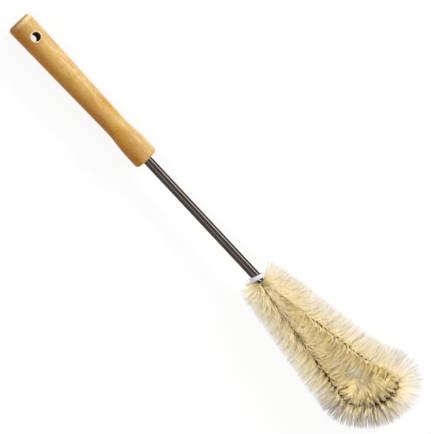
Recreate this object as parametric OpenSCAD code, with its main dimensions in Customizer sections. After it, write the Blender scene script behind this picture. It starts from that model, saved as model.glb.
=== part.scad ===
// Bottle brush: a turned wooden handle, a steel tube, a plastic collar and a twisted-in-wire
// bristle head bent round into a loop. Millimetres.
// The brush lies as it comes to rest. X runs from the handle to the loop, Z is up from the
// surface it lies on, and the origin is under the middle of the whole brush.
// Every piece is drawn in the brush's own frame first: its axis is the X axis, with x = 0 at the
// tube's lower end and the loop in the XY plane. The module at_rest() then lays it down.

/* [Handle] */
// Length of the turned handle
handle_len = 137.5; // [115:0.5:170]
// Diameter of the handle at its far end
handle_d = 20.3; // [18:0.1:24]
// Diameter of the waist, the slimmest place
waist_d = 16.4; // [14:0.1:17.5]
// Distance of the waist from the handle's far end
waist_at = 103.5; // [90:0.5:108]
// Diameter of the swell next to the tube
swell_d = 19.2; // [17.6:0.1:22]
// Distance of the swell's fullest place from the handle's lower end
swell_back = 12; // [9:1:18]
// Radius of the rounded edges at both ends of the handle
handle_edge_r = 2.6; // [1:0.1:4]

/* [Hanging hole] */
// Diameter of the hanging hole
hole_d = 7; // [4:0.1:9]
// Distance of the hole's axis from the handle's far end
hole_at = 16.5; // [12:0.5:30]
// Width of the chamfer round both mouths of the hole
hole_rim = 0.5; // [0.2:0.1:1]
// Roll of the hole about the handle's axis, away from square to the loop
hole_roll = 13; // [0:1:40]

/* [Tube] */
// Wall of the steel tube
tube_wall = 0.45; // [0.4:0.05:1]
// Length of tube that shows between the handle and the tube's lower end
tube_shown = 119; // [90:1:160]
// Length of tube let into the handle
tube_in_handle = 45; // [25:1:60]

/* [Collar] */
// Outside diameter of the plastic ring on the tube's lower end
collar_d = 12; // [10.6:0.1:15]
// Length of the ring along the tube
collar_len = 3.2; // [2:0.1:5]
// Radius of the ring's rounded outer edges
collar_edge_r = 1; // [0.3:0.1:1.4]
// How far the ring sits askew on the tube, in degrees
collar_skew = 18; // [0:1:22]
// How far the middle of the ring stands beyond the tube's end, or short of it if negative
collar_past_end = -1; // [-4:0.1:-0.5]

/* [Wire] */
// Diameter of each of the two wires
wire_d = 1.4; // [1.1:0.1:1.6]
// Length of one full turn of the twist
twist_pitch = 7.7; // [7:0.1:12]
// Length of one full turn round the far end of the loop, where the bending has opened the twist
bend_pitch = 9.6; // [7:0.1:12]
// Length of twisted wire that runs up inside the tube, at each end
wire_in_tube = 22; // [12:1:60]

/* [Loop] */
// Reach of the left corner of the loop from the tube's end
left_reach = 112; // [105:0.5:120]
// Distance of the left corner from the axis
left_spread = 15; // [12:0.5:20]
// Bend radius at the left corner
left_bend_r = 14; // [10:0.5:18]
// Reach of the loop's blunt far corner
tip_reach = 132; // [128:0.5:140]
// Distance of the far corner from the axis, to the right
tip_offset = 3; // [-2:0.5:6]
// Bend radius at the far corner
tip_bend_r = 24; // [16:1:26]
// Reach of the right corner
right_reach = 126; // [120:0.5:132]
// Distance of the right corner from the axis
right_spread = 26.5; // [24:0.5:32]
// Bend radius at the right corner
right_bend_r = 8; // [6:0.5:10]
// Reach of the shoulder, where the right leg bends outwards
shoulder_reach = 97; // [80:1:104]
// Distance of the shoulder from the axis
shoulder_spread = 16.5; // [14:0.5:19]
// Bend radius at the shoulder
shoulder_bend_r = 60; // [30:5:80]
// Bend radius of both legs where they leave the tube
exit_bend_r = 20; // [10:1:30]

/* [Bristles] */
// Length of the bristles from the middle of the twist
bristle_len = 17.2; // [12:0.1:20]
// Pairs of bristle fans in each half turn of the twist
fans_per_half_turn = 3.25; // [3:0.25:5.25]
// Thickness of a fan between the two wires
fan_root = 0.2; // [0.15:0.05:0.4]
// Thickness of a fan at its tips
fan_tip = 0.9; // [0.5:0.1:1.4]
// Width of a fan along the wire, where it is pinched
fan_pinch = 0.5; // [0.4:0.1:0.8]
// Gap between the tips of neighbouring fans on a straight leg
fan_gap = 0.7; // [0.3:0.1:1.5]
// Most that the fans spread round the outside of a bend, against a straight leg
fan_spread = 1.3; // [1:0.1:1.6]
// Backward lean of the bristles next to the collar, in degrees
collar_lean = 8; // [0:1:10]
// Length of wire over which that lean dies away
lean_fade = 16; // [8:1:30]

/* [Fits] */
// Gap for glue round the tube, in the handle
glue_gap = 0.05; // [0.02:0.01:0.15]
// Clearance of the skew ring from the tube, where it comes nearest
collar_clear = 0.05; // [0.02:0.01:0.15]
// Clearance of each bristle fan from the wires and from the brush's mid-line
fan_clear = 0.1; // [0.08:0.01:0.2]
// Clearance between the two twisted ends, and round them in the tube
stem_clear = 0.08; // [0.05:0.01:0.2]
// Gap between the two wires where no bristles hold them apart
strand_gap = 0.15; // [0.12:0.01:0.3]

/* [Hidden] */

// Facets of round surfaces, rings in each turn of the twist and sides of a wire
round_fn = 64;
rings_per_turn = 6;
wire_sides = 6;

// How far the tools of a cut run past the surface that they cut
past = 1;

// The twisted wires: distance of each wire from the middle of the twist, bare and with bristles
// between them. A wire's straight facets lie closer in than the rings they join.
bare_lay = wire_d / 2 + strand_gap / 2;
full_lay = (wire_d / 2 + fan_root / 2 + fan_clear) / cos(180 / rings_per_turn);
lay_fade = 4;
stem_r = bare_lay + wire_d / 2;
stem_y = stem_r + stem_clear / 2;

// The two legs part this far beyond the tube's end, and the first fan stands clear of the ring
exit_x = 2;
fan_start = 2;

// The tube takes both twisted ends side by side
tube_bore_d = 2 * (stem_y + stem_r + stem_clear);
tube_d = tube_bore_d + 2 * tube_wall;
socket_d = tube_d + 2 * glue_gap;
handle_far_x = -tube_shown - handle_len;

// The ring's bore lets it sit askew, touching the tube at opposite ends of its length
collar_bore_d = (tube_d + collar_len * sin(collar_skew)) / cos(collar_skew) + 2 * collar_clear;

collar_front = collar_past_end + (collar_len * cos(collar_skew) + collar_d * sin(collar_skew)) / 2;
first_fan = collar_front + fan_start;

// ---- The loop's centreline -------------------------------------------------------------------
// Straight runs between corners, each corner rounded to its own radius: [x, y, bend radius].
// It starts inside the tube, goes out along the left leg and comes back along the right one.
corners = [
    [-wire_in_tube, -stem_y, 0],
    [exit_x, -stem_y, exit_bend_r],
    [left_reach, -left_spread, left_bend_r],
    [tip_reach, tip_offset, tip_bend_r],
    [right_reach, right_spread, right_bend_r],
    [shoulder_reach, shoulder_spread, shoulder_bend_r],
    [exit_x, stem_y, exit_bend_r],
    [-wire_in_tube, stem_y, 0]
];
last_corner = len(corners) - 1;

function along(angle) = [cos(angle), sin(angle)];
function place(i) = [corners[i][0], corners[i][1]];
function run(i) = place(i + 1) - place(i);
function course(i) = atan2(run(i)[1], run(i)[0]);
function turned(i) = let (a = course(i) - course(i - 1)) a - 360 * round(a / 360);
function turn(i) = i == 0 || i == last_corner ? 0 : turned(i);
function setback(i) = corners[i][2] * tan(abs(turn(i)) / 2);
function arc_len(i) = corners[i][2] * abs(turn(i)) * PI / 180;
function straight_len(i) = norm(run(i)) - setback(i) - setback(i + 1);

// Length of wire from the start to the beginning of the rounding at corner i
function reach_of(i) = i == 0 ? 0
    : reach_of(i - 1) + (i > 1 ? arc_len(i - 1) : 0) + straight_len(i - 1);

// A place on the centreline: [point, direction in degrees, curvature]
function on_straight(i, d) = [place(i) + (setback(i) + d) * along(course(i)), course(i), 0];
function on_arc(i, d) = let (
        a = course(i - 1),
        k = sign(turn(i)) / corners[i][2],
        b = a + k * d * 180 / PI
    ) [place(i) - setback(i) * along(a) + [sin(b) - sin(a), cos(a) - cos(b)] / k, b, k];
function at(s, i = 0) = let (straight = straight_len(i), arc = i < last_corner - 1 ? arc_len(i + 1) : 0)
    s <= straight || i == last_corner - 1 ? on_straight(i, s)
    : s <= straight + arc ? on_arc(i + 1, s - straight)
    : at(s - straight - arc, i + 1);

wire_len = reach_of(last_corner);
left_end_s = reach_of(2);
right_start_s = reach_of(4) + arc_len(4);

// ---- At rest ---------------------------------------------------------------------------------
// The brush lies on the far end of its handle and on its bristles. They just touch under the far
// end of the loop, and are pressed a little shorter towards the collar.
step_s = twist_pitch / (2 * fans_per_half_turn);
path_points = [for (s = [wire_in_tube : step_s : wire_len - wire_in_tube]) at(s)[0]];
loop_max_x = max([for (p = path_points) p[0]]);
loop_min_y = min([for (p = path_points) p[1]]);
loop_max_y = max([for (p = path_points) p[1]]);
low_x = handle_far_x + handle_edge_r;
low_r = handle_r(handle_edge_r);
rest_tilt = asin((bristle_len - low_r) / (loop_max_x - low_x));
rest_z = low_r * cos(rest_tilt) - low_x * sin(rest_tilt);
rest_x = -(handle_far_x + loop_max_x + bristle_len) / 2;
rest_y = -(loop_min_y + loop_max_y) / 2;

module at_rest() {
    translate([rest_x, rest_y, rest_z]) rotate([0, -rest_tilt, 0]) children();
}

// Height of a point of the brush's frame above the surface it lies on
function height(p) = p[0] * sin(rest_tilt) + p[2] * cos(rest_tilt) + rest_z;

// The end of a line from a to b, cut off at that surface
function above_floor(a, b) = height(b) >= 0 ? b : a + (b - a) * height(a) / (height(a) - height(b));

// ---- Handle ----------------------------------------------------------------------------------
// Half thickness at a distance x from the far end: a long straight taper, then a soft swell
swell_at = handle_len - swell_back;
function ease(t) = (1 - cos(180 * min(t, 1))) / 2;
function handle_r(x) = x < waist_at
    ? (handle_d + (waist_d - handle_d) * x / waist_at) / 2
    : (waist_d + (swell_d - waist_d) * ease((x - waist_at) / (swell_at - waist_at))) / 2;

// A quarter round at an end of the handle: from its flat face, at x, to its side
function edge_round(x, sense) = let (r = handle_r(x + sense * handle_edge_r) - handle_edge_r)
    [for (a = [0 : 15 : 90]) [r + handle_edge_r * sin(a), x + sense * handle_edge_r * (1 - cos(a))]];
function reversed(v) = [for (i = [len(v) - 1 : -1 : 0]) v[i]];

module handle_profile() {
    swell_steps = 12;
    polygon(concat(
        [[0, 0]],
        edge_round(0, 1),
        [for (i = [0 : swell_steps]) let (x = waist_at + (swell_at - waist_at) * i / swell_steps)
            [handle_r(x), x]],
        reversed(edge_round(handle_len, -1)),
        [[0, handle_len]]
    ));
}

// The turned outline about the brush's axis, from the far end towards the tube
module turned_blank() {
    translate([handle_far_x, 0, 0]) rotate([0, 90, 0])
        rotate_extrude($fn = round_fn) handle_profile();
}

// The hole goes right through, with a 45 degree chamfer round each mouth
module hanging_hole() {
    mouth_z = handle_r(hole_at) + past;
    rim_z = sqrt(pow(handle_r(hole_at), 2) - pow(hole_d / 2 + hole_rim, 2));
    rim_r = hole_d / 2 + hole_rim + past;
    translate([handle_far_x + hole_at, 0, 0]) rotate([-hole_roll, 0, 0]) {
        cylinder(h = 2 * mouth_z, d = hole_d, center = true, $fn = round_fn);
        for (side = [0, 180]) rotate([side, 0, 0])
            translate([0, 0, rim_z - hole_rim])
                cylinder(h = hole_rim + past, r1 = hole_d / 2, r2 = rim_r, $fn = round_fn);
    }
}

module handle() {
    color("#dcae68") at_rest() difference() {
        turned_blank();
        translate([-tube_shown - tube_in_handle, 0, 0]) rotate([0, 90, 0])
            cylinder(h = tube_in_handle + past, d = socket_d, $fn = round_fn);
        hanging_hole();
    }
}

// ---- Tube ------------------------------------------------------------------------------------
module tube() {
    tube_len = tube_in_handle + tube_shown;
    color("#8a8683") at_rest() translate([-tube_len, 0, 0]) rotate([0, 90, 0]) difference() {
        cylinder(h = tube_len, d = tube_d, $fn = round_fn);
        translate([0, 0, -past]) cylinder(h = tube_len + 2 * past, d = tube_bore_d, $fn = round_fn);
    }
}

// ---- Collar ----------------------------------------------------------------------------------
// A moulded ring pushed over the tube's end. It sits askew, in the plane of the loop.
module collar() {
    inner_r = collar_bore_d / 2;
    outer_r = collar_d / 2;
    half = collar_len / 2;
    rounding = [for (a = [0 : 15 : 90]) collar_edge_r * [sin(a) - 1, 1 - cos(a)]];
    color("#e6e1ee") at_rest() translate([collar_past_end, 0, 0])
        rotate([0, 0, -collar_skew]) rotate([0, 90, 0]) rotate_extrude($fn = round_fn) polygon(concat(
            [[inner_r, half], [inner_r, -half]],
            [for (p = rounding) [outer_r + p[0], p[1] - half]],
            [for (p = reversed(rounding)) [outer_r + p[0], half - p[1]]]
        ));
}

// ---- Twisted wires ---------------------------------------------------------------------------
function in_bend(s) = min(max(s, left_end_s), right_start_s) - left_end_s;
function twist(s) = 360 * ((s - in_bend(s)) / twist_pitch + in_bend(s) / bend_pitch);

// Distance of each wire from the middle of the twist: the bristles between them hold them apart
function lay(s) = let (out = min(s, wire_len - s) - wire_in_tube)
    bare_lay + (full_lay - bare_lay) * min(max(out / lay_fade, 0), 1);

function inward(c) = [-sin(c[1]), cos(c[1]), 0];
function spatial(c) = [c[0][0], c[0][1], 0];
function radial(c, angle) = cos(angle) * inward(c) + [0, 0, sin(angle)];
function strand(s, phase) = let (c = at(s)) spatial(c) + lay(s) * radial(c, twist(s) + phase);

// One ring of points round the wire, square to it. Its sides keep their bearing to the loop, so
// that the wire's skin doesn't wind as the wire does.
function unit(v) = v / norm(v);
slope_step = 0.1;
function wire_ring(s, phase) = let (
        ahead = unit(strand(s + slope_step, phase) - strand(s - slope_step, phase)),
        across = unit(cross(ahead, inward(at(s)))),
        up = cross(ahead, across)
    ) [for (i = [0 : wire_sides - 1]) let (a = 360 * (i + 0.5) / wire_sides)
        strand(s, phase) + wire_d / 2 * (cos(a) * up + sin(a) * across)];

// Two triangles for each side between two rings, split along its shorter diagonal
function split_side(points, a, b, c, d) = norm(points[a] - points[c]) <= norm(points[b] - points[d])
    ? [[a, b, c], [a, c, d]]
    : [[a, b, d], [b, c, d]];

module wire(phase) {
    last = ceil(wire_len / twist_pitch * rings_per_turn);
    n = wire_sides;
    points = [for (i = [0 : last]) each wire_ring(wire_len * i / last, phase)];
    color("#5c5650") at_rest() polyhedron(
        points = points,
        faces = concat(
            [[for (j = [n - 1 : -1 : 0]) j]],
            [for (i = [0 : n : (last - 1) * n]) for (j = [0 : n - 1]) let (k = (j + 1) % n)
                each split_side(points, i + j, i + k, i + n + k, i + n + j)],
            [[for (j = [0 : n - 1]) last * n + j]]
        ),
        convexity = 10
    );
}

module wire_a() wire(90);
module wire_b() wire(270);

// ---- Bristles --------------------------------------------------------------------------------
// Each fan is a thin flat spray of bristles, pinched between the wires and spreading to its tips.
// The fans turn with the twist. Inside the loop they stop at its mid-line, and in a bend before
// they meet.
half_turn = twist_pitch / 2;
inner_share = 0.92;
shortest_fan = 3;
nearly_level = 0.1;

// How far a fan may reach inwards before it meets those from the other side: to the middle of the
// largest circle inside the loop that touches the wire at this place
function inner_room(c) = let (
        n = [inward(c)[0], inward(c)[1]],
        circles = [for (p = path_points) let (v = p - c[0]) if (v * n > wire_d / 4) v * v / (2 * v * n)]
    ) min(concat(circles, [bristle_len])) * inner_share - fan_tip / 2 - fan_clear;

// Lean of a fan along the wire: the ends of both legs lean back over the collar
function lean(s) = let (from_start = s - wire_in_tube, from_end = wire_len - wire_in_tube - s)
    tan(collar_lean) * (max(1 - from_end / lean_fade, 0) - max(1 - from_start / lean_fade, 0));

function fan_len(c, angle) = cos(angle) > nearly_level
    ? min(bristle_len, inner_room(c) / cos(angle))
    : bristle_len;

function fan_tip_at(s, angle) = let (c = at(s), t = [cos(c[1]), sin(c[1]), 0])
    spatial(c) + fan_len(c, angle) * (radial(c, angle) + lean(s) * t);

// Width of a fan at its tips: what there is between the tips on either side of it, less a gap
function tip_width(s, angle) = let (
        tip = fan_tip_at(s, angle),
        room = min([for (d = [-half_turn, half_turn]) norm(fan_tip_at(s + d, angle) - tip)])
    ) max(min(room - fan_gap, half_turn * fan_spread), fan_pinch);

// The eight corners of a fan: four between the wires and four at its tips
function fan_points(s, angle) = let (
        c = at(s),
        t = [cos(c[1]), sin(c[1]), 0],
        out = radial(c, angle),
        side = cross(t, out),
        root = spatial(c) + fan_clear * out,
        tip = fan_tip_at(s, angle),
        tip_w = tip_width(s, angle),
        tip_t = fan_root + (fan_tip - fan_root) * fan_len(c, angle) / bristle_len,
        square = [[-1, -1], [1, -1], [1, 1], [-1, 1]] / 2,
        roots = [for (q = square) root + q[0] * fan_pinch * t + q[1] * fan_root * side],
        tips = [for (q = square) tip + q[0] * tip_w * t + q[1] * tip_t * side]
    ) concat(roots, [for (i = [0 : 3]) above_floor(roots[i], tips[i])]);

module fans(from_s, to_s) {
    first = ceil(from_s / step_s);
    stations = [for (i = [first : ceil(to_s / step_s) - 1]) i * step_s];
    places = [for (s = stations) for (turned_by = [0, 180]) let (angle = twist(s) + turned_by)
        if (fan_len(at(s), angle) > shortest_fan) [s, angle]];
    color("#e8dcae") at_rest() polyhedron(
        points = [for (p = places) each fan_points(p[0], p[1])],
        faces = [for (i = [0 : len(places) - 1]) let (o = 8 * i) each [
            [o + 3, o + 2, o + 1, o],
            [o + 4, o + 5, o + 6, o + 7],
            for (j = [0 : 3]) let (k = (j + 1) % 4) [o + j, o + k, o + 4 + k, o + 4 + j]
        ]],
        convexity = 10
    );
}

module bristles_left_leg() fans(wire_in_tube + first_fan, left_end_s);
module bristles_end() fans(left_end_s, right_start_s);
module bristles_right_leg() fans(right_start_s, wire_len - wire_in_tube - first_fan);

handle();
tube();
collar();
wire_a();
wire_b();
bristles_left_leg();
bristles_end();
bristles_right_leg();
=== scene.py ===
import math

import bpy
import numpy as np
from mathutils import Matrix, Vector


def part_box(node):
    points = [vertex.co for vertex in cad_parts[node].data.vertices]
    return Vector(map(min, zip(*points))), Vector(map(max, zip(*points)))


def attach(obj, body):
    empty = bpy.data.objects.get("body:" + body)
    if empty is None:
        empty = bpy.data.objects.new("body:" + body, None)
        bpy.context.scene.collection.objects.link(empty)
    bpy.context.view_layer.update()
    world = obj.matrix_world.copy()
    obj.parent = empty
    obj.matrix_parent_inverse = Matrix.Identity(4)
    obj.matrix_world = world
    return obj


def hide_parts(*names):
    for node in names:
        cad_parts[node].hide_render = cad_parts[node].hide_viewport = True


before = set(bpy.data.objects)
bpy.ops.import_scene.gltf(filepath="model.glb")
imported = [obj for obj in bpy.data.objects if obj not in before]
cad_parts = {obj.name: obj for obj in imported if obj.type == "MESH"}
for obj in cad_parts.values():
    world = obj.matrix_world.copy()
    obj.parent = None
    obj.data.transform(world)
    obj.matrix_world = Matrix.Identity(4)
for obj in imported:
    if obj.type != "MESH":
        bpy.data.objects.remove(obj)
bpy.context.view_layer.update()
MM = 0.001


# ---- Handle ----------------------------------------------------------------------------------
# One piece of pale hardwood, turned on a lathe and dipped in a clear, honey-toned lacquer. Its
# grain runs along its length, with fine flecks, and the lacquer has drawn a little darker in
# soft blotches.

class Reading:
    """One output of a shader node. Arithmetic written on it adds Math nodes."""

    def __init__(self, finish, socket):
        self.finish = finish
        self.socket = socket

    def math(self, operation, *terms):
        settings = {"operation": operation}
        return self.finish.node("ShaderNodeMath", settings, dict(enumerate(terms)))["Value"]

    def __add__(self, other):
        return self.math("ADD", self, other)

    def __sub__(self, other):
        return self.math("SUBTRACT", self, other)

    def __rsub__(self, other):
        return self.math("SUBTRACT", other, self)

    def __mul__(self, other):
        return self.math("MULTIPLY", self, other)

    __radd__ = __add__
    __rmul__ = __mul__


class Finish:
    """A material that is put together node by node."""

    def __init__(self, name):
        self.material = bpy.data.materials.new(name)
        self.material.use_nodes = True
        self.tree = self.material.node_tree
        self.tree.nodes.clear()

    def node(self, kind, settings, sockets):
        """Adds a node of one kind, and returns its outputs by name."""
        made = self.tree.nodes.new(kind)
        for name, value in settings.items():
            if name == "stops":
                ramp = made.color_ramp
                while len(ramp.elements) < len(value):
                    ramp.elements.new(1.0)
                for element, (place, colour) in zip(ramp.elements, value):
                    element.position = place
                    element.color = (*colour, 1.0)
            else:
                setattr(made, name, value)
        for name, value in sockets.items():
            if isinstance(value, Reading):
                self.tree.links.new(value.socket, made.inputs[name])
            elif isinstance(value, tuple) and len(value) == 3 and made.inputs[name].type == "RGBA":
                made.inputs[name].default_value = (*value, 1.0)
            else:
                made.inputs[name].default_value = value
        return {output.identifier: Reading(self, output) for output in made.outputs}

    def object_place(self, centre=(0.0, 0.0, 0.0), scale=(1.0, 1.0, 1.0)):
        """The piece's own coordinates, about a centre and stretched."""
        raw = self.node("ShaderNodeTexCoord", {}, {})["Object"]
        moved = self.node("ShaderNodeVectorMath", {"operation": "SUBTRACT"}, {0: raw, 1: centre})
        return self.node("ShaderNodeVectorMath", {"operation": "MULTIPLY"},
                         {0: moved["Vector"], 1: scale})["Vector"]

    def noise(self, place, scale, detail=3.0, roughness=0.5):
        """A soft random pattern between 0 and 1."""
        return self.node("ShaderNodeTexNoise", {}, {
            "Vector": place, "Scale": scale, "Detail": detail, "Roughness": roughness})["Fac"]

    def spread(self, reading, low, high, smooth=True):
        """A reading stretched so that low goes to 0 and high to 1, and clamped."""
        kind = "SMOOTHSTEP" if smooth else "LINEAR"
        return self.node("ShaderNodeMapRange", {"interpolation_type": kind},
                         {"Value": reading, "From Min": low, "From Max": high})["Result"]

    def blend(self, share, first, second):
        """Colour first where share is 0, and second where it is 1."""
        return self.node("ShaderNodeMix", {"data_type": "RGBA"},
                         {0: share, 6: first, 7: second})["Result_Color"]

    def bump(self, height, strength, distance):
        """The normal of a surface that is raised by height."""
        return self.node("ShaderNodeBump", {}, {
            "Height": height, "Strength": strength, "Distance": distance})["Normal"]

    def skin(self, sockets):
        """The main shader of a plain surface, joined to the material's output."""
        shader = self.node("ShaderNodeBsdfPrincipled", {}, sockets)["BSDF"]
        self.node("ShaderNodeOutputMaterial", {}, {"Surface": shader})
        return self.material


# Wood colours; the first and third are painted shade and light on the handle's two sides
SHADED_SIDE_WOOD = (0.41, 0.150, 0.003)
MIDDLE_WOOD = (0.63, 0.37, 0.083)
LIT_SIDE_WOOD = (0.70, 0.48, 0.19)
AMBER = (0.31, 0.105, 0.004)
STAIN = (0.52, 0.235, 0.006)
STRAW = (0.86, 0.66, 0.36)
# End grain, darkened as painted shade, for the hole's wall and the line round the far end
SHADED_END_GRAIN = (0.13, 0.070, 0.030)
RIM_WOOD = (0.95, 0.80, 0.56)

# Fineness of the patterns; a run below 1 draws a pattern out along the grain
GRAIN_FINE = 520.0
SPECK_FINE = 1300.0
BLOTCH_FINE = 75.0
TOOL_FINE = 160.0
GRAIN_RUN = (0.35, 1.0, 1.0)
BLOTCH_RUN = (0.5, 1.0, 1.0)

# The wood turns from a shaded amber to a lit straw across the handle, painted shade on the side
# away from the key light and painted light on the side towards it. The change runs as far out as
# CHANGE_OUT of its radius on both sides, and is all lit colour from the ramp's last stop. The grain
# blurs the change.
CHANGE_OUT = 0.7
ALL_LIT = 0.82
CHANGE_BLUR = 0.2

# The hanging hole, from the far end and the underside, with the line it was drilled along, and
# where its wall gives way to its pale rim and the rim to the lacquer
HOLE_R = 3.5 * MM
HOLE_FROM_END = 16.63 * MM
HOLE_HEIGHT = 10.36 * MM
HOLE_AXIS = (-0.018, 0.225, 0.974)
HOLE_WALL = (1.01 * HOLE_R, 1.04 * HOLE_R)
HOLE_RIM = (1.12 * HOLE_R, 1.34 * HOLE_R)

# Distances from the far end at which the painted highlight on the rounding and the painted shade
# line round the end come and go
HIGHLIGHT_FROM, HIGHLIGHT_TO = (0.4 * MM, 1.4 * MM), (2.4 * MM, 5.0 * MM)
END_SHADE_FROM, END_SHADE_TO = (0.05 * MM, 0.2 * MM), (0.45 * MM, 0.8 * MM)

# Stains in mm: from the far end, beside the middle, half length, half width
STAINS = [(87.0, 6.5, 17.0, 3.5), (113.0, -2.0, 12.0, 6.0)]
STAIN_EDGE = (0.5, 1.5)

# How strongly each colour shows, with blotches fainter on the painted lit side
BLOTCH_SHARE, LESS_ON_LIT_SIDE = 0.55, 0.35
GRAIN_SHARE = 0.35
STAIN_SHARE = 0.85
SPECK_SHARE = 0.2
HIGHLIGHT_SHARE = 0.75
END_SHADE_SHARE = 0.6

WOOD_ROUGH, GRAIN_ROUGH = 0.42, 0.10
LACQUER = 0.14


def between(finish, reading, rise, fall):
    """1 between the rise and the fall, and 0 outside them."""
    return finish.spread(reading, *rise) * (1 - finish.spread(reading, *fall))


def from_hole(wood, low, high):
    """How far each place lies from the line that the hanging hole was drilled along."""
    hole = (low.x + HOLE_FROM_END, (low.y + high.y) / 2, low.z + HOLE_HEIGHT)
    crossed = wood.node("ShaderNodeVectorMath", {"operation": "CROSS_PRODUCT"},
                        {0: wood.object_place(hole), 1: HOLE_AXIS})["Vector"]
    return wood.node("ShaderNodeVectorMath", {"operation": "LENGTH"}, {0: crossed})["Value"]


def lacquered_wood():
    wood = Finish("lacquered_wood")
    low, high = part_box("handle")
    centre = tuple((low + high) / 2)
    radius = (high.y - low.y) / 2
    plain = wood.object_place(centre)
    along = wood.object_place(centre, GRAIN_RUN)
    grain = wood.noise(along, GRAIN_FINE, detail=4.0, roughness=0.65)
    grain = wood.spread(grain, low=0.34, high=0.66)
    specks = wood.noise(plain, SPECK_FINE, detail=2.0)
    blotch = wood.noise(wood.object_place(centre, BLOTCH_RUN), BLOTCH_FINE, detail=2.0)
    blotch = wood.spread(blotch, low=0.42, high=0.64)
    # Painted shade on the side of the handle away from the key light, painted light on the other
    beside = wood.node("ShaderNodeSeparateXYZ", {}, {"Vector": plain})["Y"]
    beside = beside + (grain - 0.5) * CHANGE_BLUR * radius
    lit_side = wood.spread(beside, -CHANGE_OUT * radius, CHANGE_OUT * radius, smooth=False)
    stops = [(0.0, SHADED_SIDE_WOOD), (0.5, MIDDLE_WOOD), (ALL_LIT, LIT_SIDE_WOOD)]
    colour = wood.node("ShaderNodeValToRGB", {"stops": stops}, {"Fac": lit_side})["Color"]
    colour = wood.blend(blotch * (BLOTCH_SHARE - lit_side * LESS_ON_LIT_SIDE), colour, AMBER)
    colour = wood.blend(grain * GRAIN_SHARE, colour, AMBER)
    # Two stains in the waist, where the lacquer pooled
    for from_far, across, long, wide in STAINS:
        at = (low.x + from_far * MM, (low.y + high.y) / 2 + across * MM, 0)
        oval = wood.object_place(at, (1 / (long * MM), 1 / (wide * MM), 0.0))
        away = wood.node("ShaderNodeVectorMath", {"operation": "LENGTH"}, {0: oval})["Value"]
        stain = 1 - wood.spread(away + blotch * 0.5 + grain * 0.4, *STAIN_EDGE)
        colour = wood.blend(stain * STAIN_SHARE, colour, STAIN)
    pale_specks = wood.spread(specks, low=0.50, high=0.68) * (lit_side * SPECK_SHARE + SPECK_SHARE)
    colour = wood.blend(pale_specks, colour, STRAW)
    # A painted highlight on the lit side of the far end's rounding, and a painted shade line round
    # the end, where its face turns from the light
    from_end = wood.node("ShaderNodeSeparateXYZ", {}, {"Vector": wood.object_place(low)})["X"]
    thin = between(wood, from_end, HIGHLIGHT_FROM, HIGHLIGHT_TO)
    colour = wood.blend(thin * lit_side * HIGHLIGHT_SHARE, colour, STRAW)
    line = between(wood, from_end, END_SHADE_FROM, END_SHADE_TO)
    colour = wood.blend(line * END_SHADE_SHARE, colour, SHADED_END_GRAIN)
    # The drilled hole's wall shows end grain, painted darker as the shade inside the hole, with a
    # pale broken edge
    out = from_hole(wood, low, high)
    bored = 1 - wood.spread(out, *HOLE_WALL)
    colour = wood.blend(1 - wood.spread(out, *HOLE_RIM), colour, RIM_WOOD)
    colour = wood.blend(bored, colour, SHADED_END_GRAIN)
    height = grain * 0.6 + specks * 0.8 + wood.noise(plain, TOOL_FINE, detail=1.0) * 1.5
    return wood.skin({
        "Base Color": colour,
        "Roughness": (grain * GRAIN_ROUGH + WOOD_ROUGH) * (1 - bored) + bored,
        "Specular IOR Level": 0.1,
        "Coat Weight": (1 - bored) * LACQUER,
        "Coat Roughness": 0.15,
        "Coat IOR": 1.5,
        "Normal": wood.bump(height, strength=0.18, distance=0.3 * MM),
    })


def wear(node, material):
    """A CAD node keeps its mesh and gets a finish."""
    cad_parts[node].material_slots[0].material = material


wear("handle", lacquered_wood())


# ---- Tube ------------------------------------------------------------------------------------
# Thin-walled steel tube, drawn and polished, let into the handle at one end. Its colour is painted
# dark, a painted reflection of dark surroundings. Drawing leaves faint lines along it.

# Dark colours that paint the reflection of dark surroundings on the polished steel
TUBE_DARK = (0.082, 0.067, 0.058)
TUBE_LIGHT = (0.106, 0.089, 0.079)
TUBE_EDGE = (0.10, 0.09, 0.08)
DRAWN_RUN = (0.02, 1.0, 1.0)
LINE_FINE = 1500.0
SMEAR_FINE = 60.0


def steel_painted_dark():
    steel = Finish("steel_painted_dark")
    low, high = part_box("tube")
    lines = steel.noise(steel.object_place(tuple((low + high) / 2), DRAWN_RUN),
                        LINE_FINE, detail=2.0)
    smears = steel.noise(steel.object_place(), SMEAR_FINE, detail=2.0)
    return steel.skin({
        "Base Color": steel.blend(smears, TUBE_DARK, TUBE_LIGHT),
        "Metallic": 1.0,
        "Specular Tint": TUBE_EDGE,
        "Roughness": steel.spread(lines, low=0.3, high=0.7) * 0.05 + smears * 0.04 + 0.09,
        "Normal": steel.bump(lines, strength=0.04, distance=0.05 * MM),
    })


wear("tube", steel_painted_dark())


# ---- Collar ----------------------------------------------------------------------------------
# A small moulded ring of pale plastic on the tube's lower end, which covers the tube's edge. It
# has slipped a little askew.

LILAC = (0.64, 0.60, 0.74)
PALE_LILAC = (0.76, 0.72, 0.84)
MOTTLE_FINE = 300.0
PIMPLE_FINE = 2500.0


def pale_plastic():
    plastic = Finish("pale_plastic")
    place = plastic.object_place()
    mottle = plastic.noise(place, MOTTLE_FINE, detail=2.0)
    fine = plastic.noise(place, PIMPLE_FINE, detail=2.0)
    return plastic.skin({
        "Base Color": plastic.blend(mottle, LILAC, PALE_LILAC),
        "Roughness": mottle * 0.12 + 0.34,
        "Subsurface Weight": 0.15,
        "Subsurface Radius": (1.0, 0.8, 1.2),
        "Subsurface Scale": 1.5 * MM,
        "Normal": plastic.bump(fine, strength=0.08, distance=0.05 * MM),
    })


wear("collar", pale_plastic())


# ---- Twisted wires ---------------------------------------------------------------------------
# Two drawn steel wires, laid side by side with the bristles between them, twisted together and
# then bent round into a loop. Both ends of the twist run up inside the tube.

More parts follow.
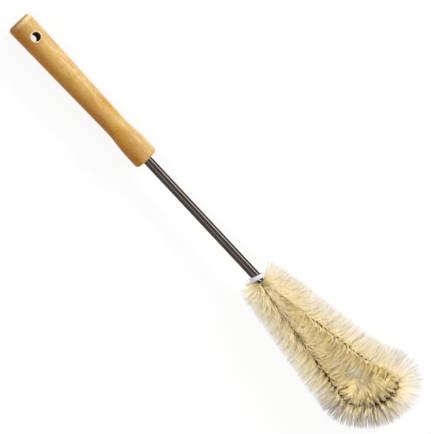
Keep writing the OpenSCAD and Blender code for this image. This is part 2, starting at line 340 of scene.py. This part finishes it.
WIRE_D = 1.4 * MM
LEG_PITCH = 7.7 * MM
BEND_PITCH = 9.6 * MM
WIRE_IN_TUBE = 22.0 * MM
STEM_Y = 1.515 * MM
LEGS_PART = 2.0 * MM
EXIT_BEND = 20.0 * MM
BARE_LAY = 0.775 * MM
FULL_LAY = 1.04 * MM
LAY_FADE = 4.0 * MM
ROUTE_STEP = 0.25 * MM
ARC_POINTS = 40
# Brown steel colours, darkened further as painted shade for the shadow among the bristles
WIRE_SHADED_BROWN = (0.085, 0.062, 0.038)
WIRE_SHADED_BARE = (0.20, 0.165, 0.12)
DULL_FINE = 500.0
SCRATCH_FINE = 3000.0

# The loop's corners, from the tube's lower end: distance along the brush, distance to the side,
# and bend radius
CORNERS = [
    (-WIRE_IN_TUBE, -STEM_Y, 0.0),
    (LEGS_PART, -STEM_Y, EXIT_BEND),
    (112 * MM, -15.0 * MM, 14 * MM),
    (132 * MM, 3.0 * MM, 24 * MM),
    (126 * MM, 26.5 * MM, 8 * MM),
    (97 * MM, 16.5 * MM, 60 * MM),
    (LEGS_PART, STEM_Y, EXIT_BEND),
    (-WIRE_IN_TUBE, STEM_Y, 0.0),
]

# The tube's lower end and the brush's tilt, as it lies
tube_low, tube_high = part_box("tube")
TUBE_D = tube_high.y - tube_low.y
TILT = math.asin((tube_high.z - tube_low.z - TUBE_D) / (tube_high.x - tube_low.x))
TUBE_END = np.array([tube_high.x - TUBE_D / 2 * math.sin(TILT),
                     (tube_low.y + tube_high.y) / 2,
                     tube_high.z - TUBE_D / 2 * math.cos(TILT)])
ALONG = np.array([math.cos(TILT), 0.0, math.sin(TILT)])
ACROSS = np.array([0.0, 1.0, 0.0])
UP = np.array([-math.sin(TILT), 0.0, math.cos(TILT)])


def loop_route(step):
    """The middle of the twist, as points on the loop's plane at equal steps, and the far bend."""
    points = []
    for before, here, after in zip(CORNERS, CORNERS[1:], CORNERS[2:]):
        corner = np.array(here[:2])
        arrive = np.array(here[:2]) - np.array(before[:2])
        leave = np.array(after[:2]) - np.array(here[:2])
        arrive, leave = arrive / np.linalg.norm(arrive), leave / np.linalg.norm(leave)
        turn = math.atan2(arrive[0] * leave[1] - arrive[1] * leave[0], arrive @ leave)
        setback = here[2] * math.tan(abs(turn) / 2)
        inward = math.copysign(1.0, turn) * np.array([-arrive[1], arrive[0]])
        for share in np.linspace(0.0, 1.0, ARC_POINTS):
            angle = abs(turn) * share
            reach = arrive * math.sin(angle) + inward * (1 - math.cos(angle))
            points.append(corner - setback * arrive + here[2] * reach)
    points = np.array([CORNERS[0][:2], *points, CORNERS[-1][:2]])
    lengths = np.concatenate([[0.0], np.cumsum(np.linalg.norm(np.diff(points, axis=0), axis=1))])
    bend = lengths[1 + ARC_POINTS], lengths[4 * ARC_POINTS]
    places = np.linspace(0.0, lengths[-1], int(lengths[-1] / step) + 1)
    flat = np.stack([np.interp(places, lengths, points[:, i]) for i in (0, 1)], axis=1)
    return places, flat, bend


route_s, route_xy, (BEND_FROM, BEND_TO) = loop_route(ROUTE_STEP)
route_heading = np.gradient(route_xy, route_s, axis=0)
route_heading /= np.linalg.norm(route_heading, axis=1, keepdims=True)
WIRE_LEN = route_s[-1]


def twist(s):
    """Angle of the twist, which the far bend has opened a little."""
    in_bend = np.clip(s, BEND_FROM, BEND_TO) - BEND_FROM
    return 2 * math.pi * ((s - in_bend) / LEG_PITCH + in_bend / BEND_PITCH)


def on_route(values, s):
    """Values that are known along the route, read at the distances s."""
    return np.stack([np.interp(s, route_s, values[:, i]) for i in range(values.shape[1])], axis=1)


def in_row(flat, height):
    """Points of the loop's plane, raised by height, in the row's own frame."""
    return (TUBE_END + flat[:, :1] * ALONG + flat[:, 1:2] * ACROSS
            + np.reshape(height, (-1, 1)) * UP)


def strand_line(phase):
    """The middle line of one wire as it winds round the twist."""
    out = np.minimum(route_s, WIRE_LEN - route_s) - WIRE_IN_TUBE
    lay = BARE_LAY + (FULL_LAY - BARE_LAY) * np.clip(out / LAY_FADE, 0, 1)
    angle = twist(route_s) + phase
    side = np.stack([-route_heading[:, 1], route_heading[:, 0]], axis=1)
    return in_row(route_xy + (lay * np.cos(angle))[:, None] * side, lay * np.sin(angle))


def drawn_wire(name, phase):
    """A round wire along its line, made as a curve with a round section."""
    line = strand_line(phase)[::2]
    curve = bpy.data.curves.new(name, "CURVE")
    curve.dimensions = "3D"
    curve.bevel_depth = WIRE_D / 2
    curve.bevel_resolution = 3
    curve.use_fill_caps = True
    spline = curve.splines.new("POLY")
    spline.points.add(len(line) - 1)
    spline.points.foreach_set("co", np.column_stack([line, np.ones(len(line))]).ravel())
    wire = bpy.data.objects.new(name, curve)
    bpy.context.scene.collection.objects.link(wire)
    bpy.ops.object.select_all(action="DESELECT")
    wire.select_set(True)
    bpy.context.view_layer.objects.active = wire
    bpy.ops.object.convert(target="MESH")
    bpy.ops.object.shade_smooth()
    return bpy.context.object


def bare_wire():
    wire = Finish("bare_wire")
    place = wire.object_place()
    dull = wire.noise(place, DULL_FINE)
    scratches = wire.noise(place, SCRATCH_FINE, detail=2.0)
    return wire.skin({
        "Base Color": wire.blend(dull, WIRE_SHADED_BROWN, WIRE_SHADED_BARE),
        "Metallic": 1.0,
        "Roughness": dull * 0.2 + 0.28,
        "Normal": wire.bump(scratches, strength=0.1, distance=0.05 * MM),
    })


wire_finish = bare_wire()
for name, phase in (("wire_a", math.pi / 2), ("wire_b", 3 * math.pi / 2)):
    wire = drawn_wire(name + "_drawn", phase)
    wire.data.materials.append(wire_finish)
    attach(wire, "root")
    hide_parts(name)


# ---- Bristles --------------------------------------------------------------------------------
# Natural cream bristles, thousands of them, laid between the two wires before they were twisted.
# Each is pinched at its root, stands out from the twist and thins to a pale tip, and the twist
# turns them into a close double spiral. Neighbours cling together in small tufts.

BRISTLE_LEN = 18.2 * MM
BRISTLE_D = 0.30 * MM
THICK_STRAY = (0.8, 1.2)
FIRST_BRISTLE = 3.0 * MM
ROOT_R = 0.5 * MM
GROOVE_R = 1.6 * MM
FLOOR_LIFT = 0.12 * MM
# Knots along a bristle as shares of its length, and its thickness at each but the tip
KNOTS = np.array([0.0, 0.11, 0.45, 0.82, 1.0])
TAPER = np.array([1.0, 1.0, 0.95, 0.75])
SIDES = 3

# Bristles to a millimetre of the wires: on the legs, in the far bend, and more next to the collar
LEG_FILL, BEND_FILL, COLLAR_FILL = 65, 110, 50
FILL_STEP = 0.1
# Where along the wires the bend has spread the bristles out, and where they stand all round
SPREAD = [BEND_FROM - 18 * MM, BEND_FROM + 2 * MM, 162 * MM, 172 * MM]
ALL_ROUND_AT = [BEND_FROM - 12 * MM, BEND_FROM, BEND_TO, BEND_TO + 12 * MM]
# How sharply what holds outside the loop, or inside it, gives way to the upright ones
OUTSIDE_SHARP, INSIDE_SHARP = 1.5, 2

# Bristles to a tuft and how closely they cling to it, on the legs and in the far bend
LEG_TUFT, BEND_TUFT = 3.0, 7.0
LEG_CLING, BEND_CLING = 0.8, 0.92
CLING_BUILD = 1.5
# Each tuft turns within a quarter turn of its groove, in even steps
TUFT_TURN = math.radians(90)
EVEN_STEP = 0.618034

# How far tufts and single bristles stray, more next to the collar and less where they spread out
TURN_STRAY = math.radians(5)
TUFT_LEAN = math.radians(2.0)
TUFT_CURL = 0.008
TUFT_SHORT = 0.015
STRAYS = 0.08
STRAY_LEAN = math.radians(8.0)
COLLAR_LOOSE = 3
SPREAD_CALM = 0.6
OWN_TURN = math.radians(8)
OWN_LEAN = math.radians(3.0)
OWN_CURL = 0.012
OWN_SHORT = 0.02

# Longer round the outside of the bend and inside it, where the ends of the bend already have
# BEND_START of it, and shorter next to the collar
OUTER_LONGER, INNER_LONGER, COLLAR_SHORTER = 0.13, 0.18, 0.12
LONG_AT, LONG_OVER = 181 * MM, 14 * MM
BEND_FADE = 16 * MM
BEND_START = 0.7

# How the bristles lean along the wires, as seen from above, and how far the upright ones do
LEAN_AT = np.array([25, 45, 69, 90, 105, 122, 132, 139, 150, 160, 185, 195, 215, 245, 275, 300]) * MM
OUTER_LEAN = np.radians([15, 15, 13, 8, 3, 2, 8, 10, 4, 0, 0, -3, -8, -10, -12, -15])
INNER_LEAN = np.radians([30, 32, 20, 5, 4, 0, -15, -26, -20, 0, 5, 8, 12, 18, 5, 0])
UPRIGHT_LEAN = [0.7, 0.6, 0.4, 0.15, 0.05, 0, 0, 0, 0, 0, 0, 0, -0.05, -0.1, -0.25, -0.5]
# Next to the collar they spray out over it
SPRAY_LEAN = math.radians(42)
SPRAY_FADE = 12 * MM
# Places where the bristles part: distance along the wires, and 1 inside the loop or -1 outside
PARTINGS = [(106.5 * MM, 1), (113.0 * MM, -1)]
PART_LEAN = math.radians(6)
PART_WIDTH = 2.0 * MM

# How far the inner ones turn up, or down on the right leg, and pass the other side's wires
TILT_AT = [118 * MM, 132 * MM, 178 * MM, 190 * MM]
SIDE_TILT = np.radians([8.0, 16.0, 16.0, -30.0])
CROSS_CLEAR = 2.2 * MM
CROSS_STRAY = (0.7, 1.6)
LEGS_CLOSE = 12.0 * MM
# The other side's wires are looked for from every eighth point, past GAP_LEAST and within
# GAP_BESIDE of straight inwards
GAP_STEP = 8
GAP_LEAST, GAP_BESIDE, NO_GAP = 0.5 * MM, 2.5 * MM, 1.0

# How far the bristles part on top of the wires, more and less with the twist
VALLEY_AT = np.array([25, 33, 69, 105, 128, 136, 165, 180, 184, 203, 210, 260, 268, 305]) * MM
VALLEY = [0.2, 0.60, 0.54, 0.40, 0.34, 0.52, 0.52, 0.12, -0.5, -0.5, 0.20, 0.20, -0.2, -0.2]
VALLEY_STRAY = (0.0, 1.5)
WITH_TWIST = 0.55

# How pale the tips are inside the loop and outside it, and the roots where they spread out
INNER_PALE, LEG_PALE, SPREAD_PALE = 0.46, 0.84, 0.65
# How far up the right leg's outer roots start: painted light on the side towards the key light
RIGHT_LIT_PALE = 0.35
BEND_PART = 0.4
# How dark the tufts are, as two beta distributions, on the legs and where they spread out; the
# latter are darker, as painted shade for single hairs seen against the light
LEG_SHADE, BEND_SHADE = (0.5, 1.2), (0.75, 0.55)
OWN_SHADE = 0.08
SMOOTH_SHADE = 0.5
# Inside the loop tufts are painted paler, as painted light against the shadow of the close bristles
INNER_SHADE_LIGHTENED = 0.8
# Painted shade and light outside the loop along the wires: the upright ones darker on the left
# leg, away from the key light, and paler on the right leg, towards it; the flat ones a little the
# other way
PAINTED_SHADE_AT = [BEND_FROM - 20 * MM, BEND_FROM, BEND_TO, BEND_TO + 20 * MM]
PAINTED_SHADE = [0.30, 0.22, 0.0, -0.15]
UPRIGHT_WITHIN, UPRIGHT_FADE, FLAT_SHADE_SHARE = 0.62, 0.4, -0.3

random = np.random.default_rng(29)


def gap_across(s):
    """The distance inwards from each place to the wire on the other side of the loop."""
    path, heading, places = (values[::GAP_STEP] for values in (route_xy, route_heading, route_s))
    inward = np.stack([-heading[:, 1], heading[:, 0]], axis=1)
    apart = path[None] - path[:, None]
    ahead = np.einsum("ijk,ik->ij", apart, inward)
    beside = np.abs(np.einsum("ijk,ik->ij", apart, heading))
    far = np.where((ahead > GAP_LEAST) & (beside < GAP_BESIDE), ahead, NO_GAP)
    return np.interp(s, places, far.min(axis=1))


def lie_of(s, groove, turn, lean, length, curl):
    """The points along each bristle or tuft that is pinched at the distances s."""
    middle, heading = on_route(route_xy, s), on_route(route_heading, s)
    inward = np.stack([-heading[:, 1], heading[:, 0]], axis=1)
    gap = gap_across(s)
    # Inside the loop the right leg's bristles lie below those of the left leg and the far end
    right_leg = s > BEND_TO
    tilt = np.interp(s, TILT_AT, SIDE_TILT)
    turn = turn + tilt * np.clip(np.cos(turn), 0, 1)
    side, rise = np.cos(turn), np.sin(turn)
    # One that points at the other side's wires passes over or under them
    steep = np.arctan(CROSS_CLEAR * random.uniform(*CROSS_STRAY, len(s)) / gap)
    flat = (side > 0) & (np.abs(rise) < np.sin(steep)) & (gap < length)
    over = np.where(rise >= 0, 1, -1)
    over = np.where(gap < LEGS_CLOSE, np.where(right_leg, -1, 1), over)
    side = np.where(flat, np.cos(steep), side)
    rise = np.where(flat, over * np.sin(steep), rise)
    side = np.where(right_leg & (gap < LEGS_CLOSE) & (rise > 0), -np.abs(side), side)
    # On top they part to both sides, so that the wires show, and most where one wire lies over
    # the other
    leaves = np.where(np.cos(groove) >= 0, 1, -1)
    leaves = np.where(right_leg & (gap < LEGS_CLOSE), -1, leaves)
    parted = np.interp(s, VALLEY_AT, VALLEY) * random.uniform(*VALLEY_STRAY, len(s))
    parted *= 1 + WITH_TWIST * np.cos(2 * groove)
    upright = (rise > 0) & (side * leaves < parted)
    side = np.where(upright, leaves * parted, side)
    rise = np.where(upright, np.sqrt(1 - parted ** 2), rise)
    lines = []
    for number, knot in enumerate(KNOTS):
        held = 2 * knot * (1 - knot)
        if number < 2:
            out = (ROOT_R, GROOVE_R)[number]
            across, up, forward = out * np.cos(groove), out * np.sin(groove), 0.0 * s
        else:
            out = knot * length * np.cos(lean)
            across, up = out * side + held * curl[0] * length, out * rise
            forward = knot * length * np.sin(lean) + held * curl[1] * length
        lines.append(in_row(middle + across[:, None] * inward + forward[:, None] * heading, up))
    return np.stack(lines, axis=1)


def spread_share(s):
    """How far the far bend has spread the bristles: 0 on the legs, 1 in the bend."""
    return np.interp(s, SPREAD, [0, 1, 1, 0])


def collar_share(s):
    """1 next to the collar, 0 further along the legs."""
    from_collar = np.minimum(s, WIRE_LEN - s) - WIRE_IN_TUBE
    return np.clip(1 - from_collar / SPRAY_FADE, 0, 1)


def pinched(start, end):
    """Where the bristles of one side are pinched, between two places on the wires."""
    places = np.arange(start, end, FILL_STEP * MM)
    fill = LEG_FILL + (BEND_FILL - LEG_FILL) * np.interp(places, ALL_ROUND_AT, [0, 1, 1, 0])
    fill += COLLAR_FILL * (collar_share(places) > 0)
    count = np.concatenate([[0.0], np.cumsum(fill) * FILL_STEP / 2])
    counted = np.arange(int(count[-1])) + random.uniform(0, 1, int(count[-1]))
    return np.interp(counted, count, np.append(places, end))


def bristle_lines(s, first_side):
    """The bristles that are pinched at the distances s, gathered into tufts, and their shades."""
    count = len(s)
    in_tuft = LEG_TUFT + (BEND_TUFT - LEG_TUFT) * spread_share(s)
    tuft = np.cumsum(1 / in_tuft).astype(int)
    tuft -= tuft[0]
    tufts = tuft[-1] + 1
    middle_s = np.bincount(tuft, s) / np.bincount(tuft)
    all_round = np.interp(middle_s, ALL_ROUND_AT, [0, 1, 1, 0])
    near_collar = collar_share(middle_s)
    tuft_turn = TUFT_TURN * (2 * ((np.arange(tufts) * EVEN_STEP) % 1) - 1)
    tuft_turn += random.normal(0, TURN_STRAY, tufts)
    stray = random.uniform(0, 1, tufts) < STRAYS
    base = first_side * math.pi
    sideways = np.cos(twist(middle_s) + base + tuft_turn)
    outside = np.clip(-sideways * OUTSIDE_SHARP, 0, 1)
    spread_out = outside * spread_share(middle_s)
    strayed = random.normal(0, TUFT_LEAN, tufts) * (1 + COLLAR_LOOSE * near_collar)
    strayed = strayed + stray * random.uniform(-STRAY_LEAN, STRAY_LEAN, tufts)
    tuft_lean = (combed_lean(middle_s, sideways) + parting_lean(middle_s, sideways)
                 + (1 - SPREAD_CALM * spread_out) * strayed)
    # Inside the far bend they are left longer, and fill it
    into_bend = np.minimum(middle_s - BEND_FROM, BEND_TO - middle_s)
    inside_bend = np.clip(into_bend / BEND_FADE + BEND_START, 0, 1)
    inner = 1 + INNER_LONGER * np.clip(sideways, 0, 1) * inside_bend
    # Round the outside of the bend they stand out further, and next to the collar less
    outer = np.exp(-((middle_s - LONG_AT) / LONG_OVER) ** 2) * np.clip(-sideways, 0, 1)
    length = BRISTLE_LEN * inner * (1 + OUTER_LONGER * outer) * (1 - COLLAR_SHORTER * near_collar)
    groove = twist(middle_s) + base
    tuft_lines = lie_of(middle_s, groove, groove + tuft_turn, tuft_lean,
                        length * (1 - np.abs(random.normal(0, TUFT_SHORT, tufts))),
                        random.normal(0, TUFT_CURL, (2, tufts)))[tuft]
    groove = twist(s) + base + random.normal(0, OWN_TURN, count)
    own = lie_of(s, groove, groove + tuft_turn[tuft],
                 tuft_lean[tuft] + random.normal(0, OWN_LEAN, count),
                 length[tuft] * (1 - np.abs(random.normal(0, OWN_SHORT, count))),
                 random.normal(0, OWN_CURL, (2, count)))
    cling = (LEG_CLING + (BEND_CLING - LEG_CLING) * spread_out)[tuft]
    lines = own + cling[:, None, None] * (KNOTS ** CLING_BUILD)[None, :, None] * (tuft_lines - own)
    # What would pass below the surface lies along it
    under = np.maximum(FLOOR_LIFT - lines[:, :, 2], 0)
    lines[:, :, 2] += under
    # Those that spread out round the far bend are a darker grey-brown, painted shade for single
    # hairs seen against the light, in tufts that differ at random
    smooth = np.maximum(np.clip(sideways * INSIDE_SHARP, 0, 1) * all_round, near_collar)
    shade = (random.beta(*LEG_SHADE, tufts) * (1 - spread_out) * (1 - SMOOTH_SHADE * smooth)
             + random.beta(*BEND_SHADE, tufts) * spread_out)
    # Painted shade and light by leg outside the loop, strongest on the upright ones
    upright = np.clip((UPRIGHT_WITHIN - np.abs(sideways)) / UPRIGHT_FADE, FLAT_SHADE_SHARE, 1)
    darker = np.interp(middle_s, PAINTED_SHADE_AT, PAINTED_SHADE) * upright
    shade = np.where(sideways < 0, shade + darker, INNER_SHADE_LIGHTENED * shade)
    shade = np.clip(shade[tuft] + random.normal(0, OWN_SHADE, count), 0, 1)
    # Each shows a stretch of the colours from root to tip, and the paler ones start further up, with
    # less of the painted shade at the root: outside the loop where they spread out, and on the right
    # leg's outside as painted light on the side towards the key light
    spread_pale = BEND_PART * all_round + (1 - BEND_PART) * spread_share(middle_s)
    from_pale = np.maximum(SPREAD_PALE * spread_pale, RIGHT_LIT_PALE * (middle_s > BEND_TO))
    from_pale = (from_pale * outside)[tuft]
    outer_pale = LEG_PALE + (1 - LEG_PALE) * all_round[tuft]
    to_pale = np.where(sideways[tuft] > 0, INNER_PALE, outer_pale)
    return lines, shade, np.stack([from_pale, to_pale], axis=1)


def combed_lean(s, sideways):
    """Along the legs the bristles lean towards the far end, and next to the collar over it."""
    inner, outer = np.interp(s, LEAN_AT, INNER_LEAN), np.interp(s, LEAN_AT, OUTER_LEAN)
    flat = np.where(sideways > 0, inner, outer)
    upright = np.interp(s, LEAN_AT, UPRIGHT_LEAN)
    lean = np.arctan(np.tan(flat) * np.abs(sideways) + upright * (1 - np.abs(sideways)))
    spray = np.where(s < BEND_FROM, -1, 1) * collar_share(s)
    return lean + SPRAY_LEAN * spray * sideways ** 2


def parting_lean(s, sideways):
    """On both sides of a parting the bristles lean away from it."""
    lean = np.zeros(len(s))
    for place, side in PARTINGS:
        apart = (s - place) / PART_WIDTH
        lean += PART_LEAN * np.sign(apart) * np.exp(-apart ** 2) * (sideways * side > 0)
    return lean


def one_bristle():
    """A three-sided spike of length and radius 1, with a ring at each knot."""
    bpy.ops.object.select_all(action="DESELECT")
    bpy.ops.mesh.primitive_cone_add(vertices=SIDES, radius1=TAPER[0], radius2=TAPER[1],
                                    depth=KNOTS[1], end_fill_type="NGON",
                                    location=(0, 0, KNOTS[1] / 2))
    spike = bpy.context.object
    bpy.ops.object.mode_set(mode="EDIT")
    for knot in range(1, len(KNOTS) - 1):
        upper_face(spike, KNOTS[knot])
        bpy.ops.mesh.extrude_region_move(
            TRANSFORM_OT_translate={"value": (0, 0, KNOTS[knot + 1] - KNOTS[knot])})
        share = TAPER[knot + 1] / TAPER[knot] if knot + 1 < len(TAPER) else 1.0
        bpy.ops.transform.resize(value=(share, share, 1.0))
    bpy.ops.mesh.merge(type="CENTER")
    bpy.ops.mesh.select_all(action="SELECT")
    bpy.ops.mesh.quads_convert_to_tris()
    bpy.ops.mesh.normals_make_consistent(inside=False)
    bpy.ops.object.mode_set(mode="OBJECT")
    bpy.ops.object.transform_apply(location=True, rotation=True, scale=True)
    return spike


def upper_face(spike, height):
    """Selects only the flat face at a height."""
    bpy.ops.mesh.select_all(action="DESELECT")
    bpy.ops.object.mode_set(mode="OBJECT")
    for face in spike.data.polygons:
        face.select = all(abs(spike.data.vertices[v].co.z + spike.location.z - height) < 1e-5
                          for v in face.vertices)
    bpy.ops.object.mode_set(mode="EDIT")
    bpy.ops.mesh.select_mode(type="FACE")


MAP_EDGE = 0.02
spike = one_bristle()
spike_points = np.array([v.co for v in spike.data.vertices])
spike_faces = np.array([list(f.vertices) for f in spike.data.polygons])
bpy.data.objects.remove(spike)


def bristle_mesh(name, lines, shade, pale):
    """The one bristle, copied along each line, all in one mesh."""
    count = len(lines)
    ahead = lines[:, -1] - lines[:, 0]
    ahead /= np.linalg.norm(ahead, axis=1, keepdims=True)
    other = np.where(np.abs(ahead[:, 2:]) > 0.8, [[1.0, 0.0, 0.0]], [[0.0, 0.0, 1.0]])
    right = np.cross(other, ahead)
    right /= np.linalg.norm(right, axis=1, keepdims=True)
    over = np.cross(ahead, right)
    turned = random.uniform(0, 2 * math.pi, count)
    thick = BRISTLE_D / 2 * random.uniform(*THICK_STRAY, count)
    knot = np.abs(spike_points[:, 2:] - KNOTS[None]).argmin(axis=1)
    x, y = spike_points[:, 0], spike_points[:, 1]
    to_right = thick[:, None] * (np.outer(np.cos(turned), x) - np.outer(np.sin(turned), y))
    to_over = thick[:, None] * (np.outer(np.sin(turned), x) + np.outer(np.cos(turned), y))
    corners = (lines[:, knot] + to_right[:, :, None] * right[:, None]
               + to_over[:, :, None] * over[:, None])
    per = len(spike_points)
    mesh = bpy.data.meshes.new(name)
    mesh.vertices.add(count * per)
    mesh.vertices.foreach_set("co", corners.ravel())
    loops = (spike_faces[None] + per * np.arange(count)[:, None, None]).ravel()
    mesh.loops.add(len(loops))
    mesh.loops.foreach_set("vertex_index", loops.astype(np.int32))
    mesh.polygons.add(len(loops) // 3)
    mesh.polygons.foreach_set("loop_start", np.arange(0, len(loops), 3, dtype=np.int32))
    mesh.update(calc_edges=True)
    mesh.polygons.foreach_set("use_smooth", np.zeros(len(loops) // 3, bool))
    # Each bristle is a line up the map: its shade places it across, and its paleness runs up
    up = KNOTS[knot][spike_faces.ravel()]
    up = (pale[:, :1] + (pale[:, 1:] - pale[:, :1]) * up[None]).ravel()
    spots = np.stack([np.repeat(shade, spike_faces.size), up], axis=1)
    layer = mesh.uv_layers.new(name="OFBake")
    layer.data.foreach_set("uv", (MAP_EDGE + (1 - 2 * MAP_EDGE) * spots).ravel())
    mesh.validate()
    piece = bpy.data.objects.new(name, mesh)
    bpy.context.scene.collection.objects.link(piece)
    return piece


# The colours of a bristle from its root to its pale tip, and what the dark ones turn to; the deep
# gold at the root is painted shade beside the wires
BRISTLE_STOPS = [
    (0.0, (0.66, 0.52, 0.27)),
    (0.14, (0.96, 0.87, 0.58)),
    (0.4, (0.98, 0.93, 0.74)),
    (0.7, (1.0, 0.97, 0.89)),
    (1.0, (0.76, 0.72, 0.68)),
]
BRISTLE_DARK = (0.33, 0.27, 0.20)
# How much less of the dark a tip takes than the root: painted shade deep among the bristles
TIP_LESS_PAINTED_SHADE = 0.4
BRISTLE_GLOW = (1.0, 0.93, 0.74)
LIGHT_THROUGH = 0.87


def natural_bristle():
    bristle = Finish("natural_bristle")
    spot = bristle.node("ShaderNodeUVMap", {"uv_map": "OFBake"}, {})["UV"]
    parts = bristle.node("ShaderNodeSeparateXYZ", {}, {"Vector": spot})
    shade, along = parts["X"], parts["Y"]
    colour = bristle.node("ShaderNodeValToRGB", {"stops": BRISTLE_STOPS}, {"Fac": along})["Color"]
    # Dark tufts are darkest at the root, as painted shade deep among the bristles, with the tips in
    # light
    colour = bristle.blend(shade * shade * (1 - along * TIP_LESS_PAINTED_SHADE), colour, BRISTLE_DARK)
    skin = bristle.node("ShaderNodeBsdfPrincipled", {}, {
        "Base Color": colour, "Roughness": shade * 0.15 + 0.30, "Specular IOR Level": 0.5})["BSDF"]
    through = bristle.node("ShaderNodeBsdfTranslucent", {}, {"Color": colour})["BSDF"]
    both = bristle.node("ShaderNodeMixShader", {}, {0: 0.5, 1: skin, 2: through})["Shader"]
    # Part of the light goes on through a bristle and takes its colour with it
    glow = bristle.node("ShaderNodeBsdfTransparent", {}, {"Color": BRISTLE_GLOW})["BSDF"]
    lit = bristle.node("ShaderNodeLightPath", {}, {})["Is Shadow Ray"]
    passed = lit * LIGHT_THROUGH
    both = bristle.node("ShaderNodeMixShader", {}, {0: passed, 1: both, 2: glow})["Shader"]
    # The side that is turned away is clear
    clear = bristle.node("ShaderNodeBsdfTransparent", {}, {})["BSDF"]
    inside = bristle.node("ShaderNodeNewGeometry", {}, {})["Backfacing"]
    thin = bristle.node("ShaderNodeMixShader", {}, {0: inside, 1: both, 2: clear})["Shader"]
    bristle.node("ShaderNodeOutputMaterial", {}, {"Surface": thin})
    return bristle.material


bristle_finish = natural_bristle()
STRETCHES = [
    ("bristles_left_leg", WIRE_IN_TUBE + FIRST_BRISTLE, BEND_FROM),
    ("bristles_end", BEND_FROM, BEND_TO),
    ("bristles_right_leg", BEND_TO, WIRE_LEN - WIRE_IN_TUBE - FIRST_BRISTLE),
]
for node, start, end in STRETCHES:
    for side in (0, 1):
        piece = bristle_mesh(f"{node}_row_{side + 1}", *bristle_lines(pinched(start, end), side))
        piece.data.materials.append(bristle_finish)
        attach(piece, "root")
        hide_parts(node)


# ---- Floor, light and camera -----------------------------------------------------------------
# A white studio surface under soft light, and a long lens that looks down on the brush from a
# little towards the handle.

IMAGE_W, IMAGE_H = 431, 434
MM_A_PIXEL = 0.73
CAMERA_TILT = math.radians(5.8)
AXIS_DROP = math.radians(46.97)
AIM_PIXEL = (257.2, 277.4)
AIM_FROM_END = -1.0 * MM
CAMERA_AWAY = 5.0
CAMERA_SEES = (0.1, 50.0)
SENSOR = 36.0


def aimed_camera():
    """The camera, turned so that the brush slopes down to the right."""
    back = Vector((-math.sin(CAMERA_TILT), 0, math.cos(CAMERA_TILT)))
    forth = Vector((math.cos(CAMERA_TILT), 0, math.sin(CAMERA_TILT)))
    beside = Vector((0, 1, 0))
    right = math.cos(AXIS_DROP) * forth + math.sin(AXIS_DROP) * beside
    up = -math.sin(AXIS_DROP) * forth + math.cos(AXIS_DROP) * beside
    aim = Vector(TUBE_END + AIM_FROM_END * ALONG)
    offset = ((IMAGE_W / 2 - AIM_PIXEL[0]) * right - (IMAGE_H / 2 - AIM_PIXEL[1]) * up)
    target = aim + offset * MM_A_PIXEL * MM
    data = bpy.data.cameras.new("camera")
    data.sensor_width = SENSOR
    data.lens = SENSOR * CAMERA_AWAY / (IMAGE_H * MM_A_PIXEL * MM)
    data.clip_start, data.clip_end = CAMERA_SEES
    camera = bpy.data.objects.new("camera", data)
    bpy.context.scene.collection.objects.link(camera)
    turned = Matrix((right, up, back)).transposed().to_4x4()
    camera.matrix_world = Matrix.Translation(target + CAMERA_AWAY * back) @ turned
    return camera


bpy.context.scene.camera = aimed_camera()


FLOOR_SIZE = 12.0
FLOOR_MATT = (0.92, 0.92, 0.92)
FLOOR_WHITE = 1.03
FLOOR_SEEN_WHITE = 0.8


def white_floor():
    """Mostly glowing white in view and in reflections; its matt part keeps the shadow."""
    floor = Finish("white_floor")
    matt = floor.node("ShaderNodeBsdfDiffuse", {}, {"Color": FLOOR_MATT})["BSDF"]
    white = floor.node("ShaderNodeEmission", {}, {"Color": (1.0, 1.0, 1.0), "Strength": FLOOR_WHITE})
    path = floor.node("ShaderNodeLightPath", {}, {})
    seen = path["Is Camera Ray"].math("MAXIMUM", path["Is Camera Ray"], path["Is Glossy Ray"])
    share = seen * FLOOR_SEEN_WHITE
    both = floor.node("ShaderNodeMixShader", {}, {0: share, 1: matt, 2: white["Emission"]})
    floor.node("ShaderNodeOutputMaterial", {}, {"Surface": both["Shader"]})
    return floor.material


bpy.ops.object.select_all(action="DESELECT")
bpy.ops.mesh.primitive_plane_add(size=FLOOR_SIZE, location=(0, 0, 0))
floor = bpy.context.object
floor.name = "floor"
floor.data.materials.append(white_floor())

WORLD_LIGHT = 0.55
world = bpy.data.worlds.new("studio")
bpy.context.scene.world = world
world.use_nodes = True
world.node_tree.nodes["Background"].inputs["Color"].default_value = (1.0, 1.0, 1.0, 1.0)
world.node_tree.nodes["Background"].inputs["Strength"].default_value = WORLD_LIGHT


def softbox(name, place, size, power):
    """A long soft lamp that faces the brush."""
    data = bpy.data.lights.new(name, "AREA")
    data.shape = "RECTANGLE"
    data.size, data.size_y = size
    data.energy = power
    lamp = bpy.data.objects.new(name, data)
    bpy.context.scene.collection.objects.link(lamp)
    lamp.location = place
    lamp.rotation_euler = Vector(place).to_track_quat("Z", "Y").to_euler()
    return lamp


softbox("key_light", place=(0.1, 1.60, 0.80), size=(2.2, 0.5), power=27.5)
softbox("fill_light", place=(-0.1, -0.81, 1.83), size=(3.6, 1.0), power=15.5)

bpy.context.scene.view_settings.view_transform = "Standard"
